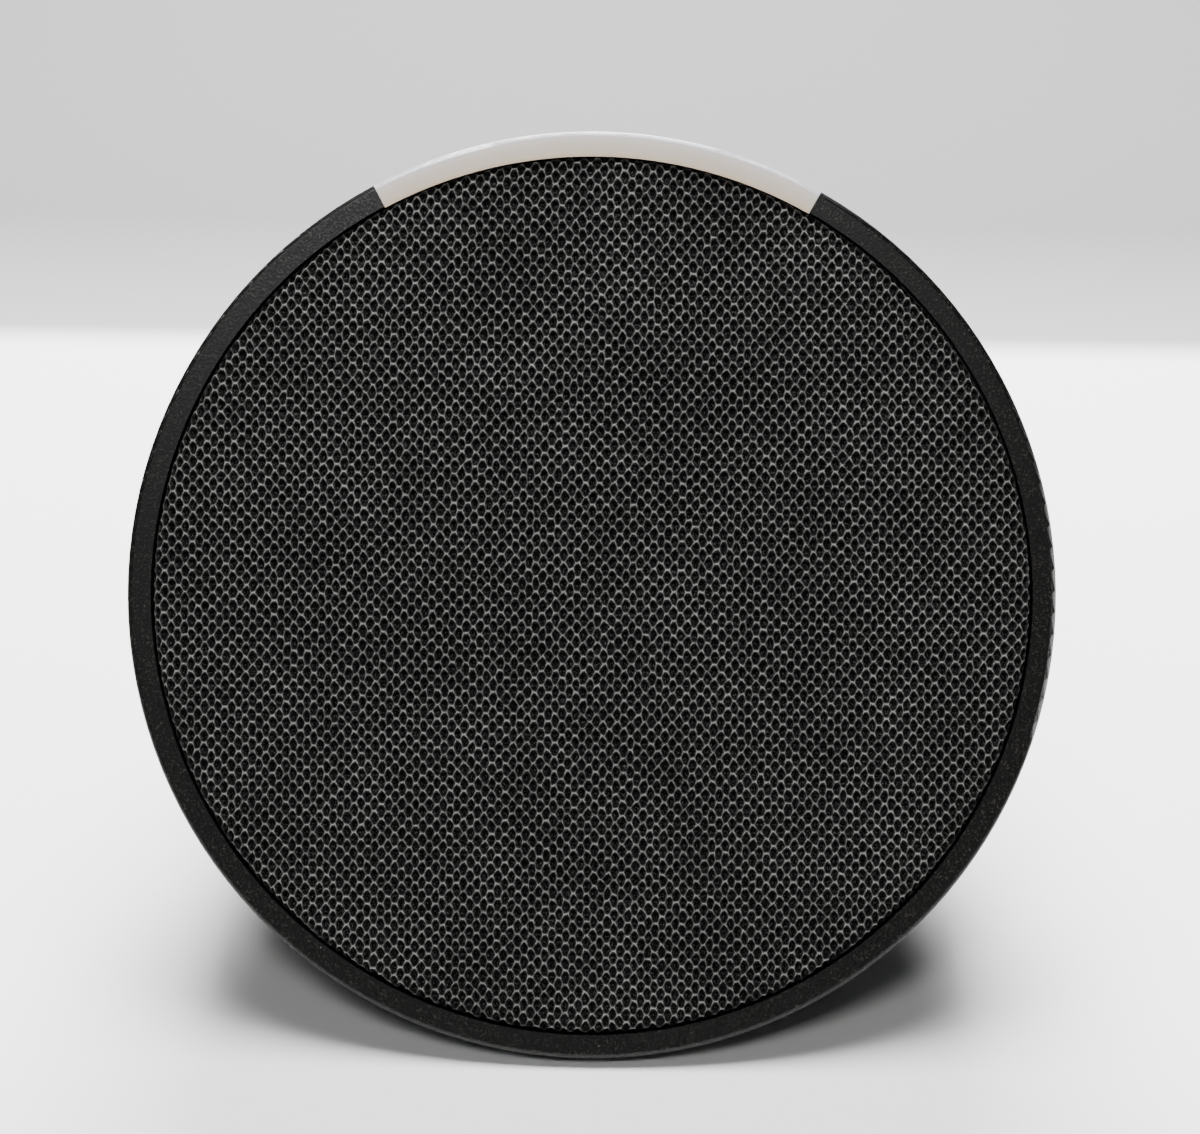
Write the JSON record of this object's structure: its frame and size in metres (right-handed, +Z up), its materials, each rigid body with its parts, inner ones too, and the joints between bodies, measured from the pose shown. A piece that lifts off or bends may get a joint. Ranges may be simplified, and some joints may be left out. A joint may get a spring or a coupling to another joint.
{
  "type": "smart speaker",
  "caption": "Half-dome smart speaker: round cloth-covered face leaning back in a thin ring with a light bar, dome shell with push buttons on top and a power socket behind.",
  "frame": {"origin": "centre of the foot pad's underside, on the table", "axes": "+Z up, -Y the way the face looks, +X to the right of someone facing it"},
  "size_m": [0.099, 0.0828, 0.0909],
  "materials": {
    "basket_steel": "black stamped steel",
    "bracket_steel": "zinc plated steel",
    "button_plastic": "satin black moulded plastic",
    "chip_black": "black epoxy package",
    "circuit_board": "green solder mask over glass laminate",
    "coil_former": "amber polyimide film",
    "cone_paper": "coated paper pulp",
    "connector_plastic": "ivory nylon",
    "copper_wire": "enamelled copper winding",
    "flat_cable": "polyimide flat cable",
    "foot_rubber": "soft matt rubber",
    "grille_plastic": "moulded black plastic",
    "inner_plastic": "moulded black plastic",
    "led_board_white": "white solder mask over glass laminate",
    "led_package": "white package with a yellow phosphor window",
    "light_diffuser": "frosted translucent white plastic",
    "magnet_ferrite": "sintered ferrite, ground faces",
    "nickel_brass": "nickel plated",
    "power_insulation": "soft insulation",
    "ring_plastic": "satin black moulded plastic with a fine spark texture",
    "screw_steel": "zinc plated",
    "seal_foam": "closed-cell foam",
    "shell_plastic": "satin black moulded plastic with a fine spark texture",
    "socket_plastic": "glass filled nylon",
    "speaker_cloth": "charcoal spacer knit, open hexagonal net",
    "spider_cloth": "resin-stiffened woven cotton",
    "spreader_aluminium": "plain aluminium sheet",
    "surround_rubber": "thin butyl rubber",
    "switch_metal": "tinned steel frame",
    "terminal_laminate": "paper phenolic",
    "thermal_silicone": "soft silicone pad",
    "tin_plate": "tin plated sheet",
    "tinned_brass": "tinned brass",
    "wire_insulation": "soft insulation",
    "zinc_steel": "zinc plated steel"
  },
  "bodies": {
    "root": {"antennas": "tinned_brass", "back_chamber": "inner_plastic", "base_bracket": "bracket_steel", "base_screws": "screw_steel", "board_chips": "chip_black", "board_connectors": "connector_plastic", "board_screws": "screw_steel", "button_board": "circuit_board", "button_board_screws": "screw_steel", "button_ribbon": "flat_cable", "button_switches": "switch_metal", "chamber_screws": "screw_steel", "chamber_seal": "seal_foam", "driver_basket": "basket_steel", "driver_screws": "screw_steel", "driver_seal": "seal_foam", "foot_pad": "foot_rubber", "front_baffle": "inner_plastic", "front_ring": "ring_plastic", "grille_cloth": "speaker_cloth", "grille_frame": "grille_plastic", "heat_spreader": "spreader_aluminium", "led_board": "led_board_white", "led_ribbon": "flat_cable", "light_bar": "light_diffuser", "light_emitters": "led_package", "magnet": "magnet_ferrite", "main_board": "circuit_board", "mic_seals": "seal_foam", "microphones": "tin_plate", "pole_yoke": "zinc_steel", "power_socket": "socket_plastic", "power_wires": "power_insulation", "rear_shell": "shell_plastic", "ring_screws": "screw_steel", "shield_can": "tin_plate", "socket_pin": "nickel_brass", "socket_sleeve": "nickel_brass", "solder_lugs": "tinned_brass", "speaker_wires": "wire_insulation", "spider": "spider_cloth", "surround": "surround_rubber", "terminal_strip": "terminal_laminate", "thermal_pad": "thermal_silicone", "top_plate": "zinc_steel", "wire_grommet": "foot_rubber"},
    "volume_down": {"volume_down_button": "button_plastic", "volume_down_plunger": "connector_plastic"},
    "mic_mute": {"mic_mute_button": "button_plastic", "mic_mute_plunger": "connector_plastic"},
    "volume_up": {"volume_up_button": "button_plastic", "volume_up_plunger": "connector_plastic"},
    "cone_assembly": {"driver_cone": "cone_paper", "dust_cap": "cone_paper", "coil_former": "coil_former", "voice_coil": "copper_wire"}
  },
  "joints": [
    {"name": "volume_down_press", "type": "slide", "parent": "root", "child": "volume_down", "axis": [0, -0.5453, -0.8382], "range_m": [0, 0.0005], "stiffness_N_per_m": 3200},
    {"name": "mic_mute_press", "type": "slide", "parent": "root", "child": "mic_mute", "axis": [0, -0.5453, -0.8382], "range_m": [0, 0.0005], "stiffness_N_per_m": 3200},
    {"name": "volume_up_press", "type": "slide", "parent": "root", "child": "volume_up", "axis": [0, -0.5453, -0.8382], "range_m": [0, 0.0005], "stiffness_N_per_m": 3200},
    {"name": "cone_travel", "type": "slide", "parent": "root", "child": "cone_assembly", "axis": [0, -0.9063, 0.4226], "range_m": [-0.0015, 0.0015], "stiffness_N_per_m": 1500, "deforming": ["surround", "spider"]}
  ]
}
